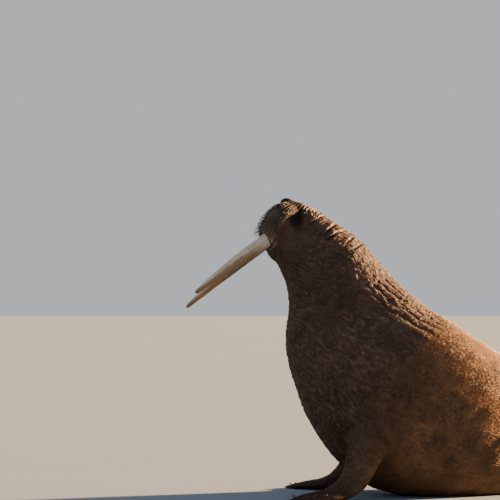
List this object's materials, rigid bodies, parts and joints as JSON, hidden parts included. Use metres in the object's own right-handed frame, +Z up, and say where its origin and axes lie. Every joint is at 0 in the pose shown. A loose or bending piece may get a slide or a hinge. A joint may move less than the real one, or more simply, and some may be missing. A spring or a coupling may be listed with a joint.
{
  "type": "walrus",
  "caption": "Life-size bull walrus sitting up on its fore flippers, head thrown back, long tusks pointing forward and down.",
  "frame": {"origin": "on the ground, under the middle of the box that holds the animal", "axes": "+Z up, the animal faces -X, its left side is towards -Y"},
  "size_m": [3.0982, 2.2688, 1.6338],
  "materials": {
    "hide": "thick creased hide with short sparse fur",
    "muzzle_hide": "bristled whisker pads, lips and chin",
    "flipper_hide": "bare, warty, dark hide",
    "ivory": "worn, stained, lengthwise cracks",
    "eye": "wet"
  },
  "bodies": {
    "root": {"head": "hide", "muzzle": "muzzle_hide", "lower_jaw": "muzzle_hide", "neck": "hide", "chest": "hide", "belly": "hide", "hips": "hide", "tail": "hide", "eye_left": "eye", "eye_right": "eye", "tusk_left": "ivory", "tusk_right": "ivory", "fore_flipper_left": "flipper_hide", "fore_flipper_right": "flipper_hide", "hind_flipper_left": "flipper_hide", "hind_flipper_right": "flipper_hide"}
  },
  "joints": []
}
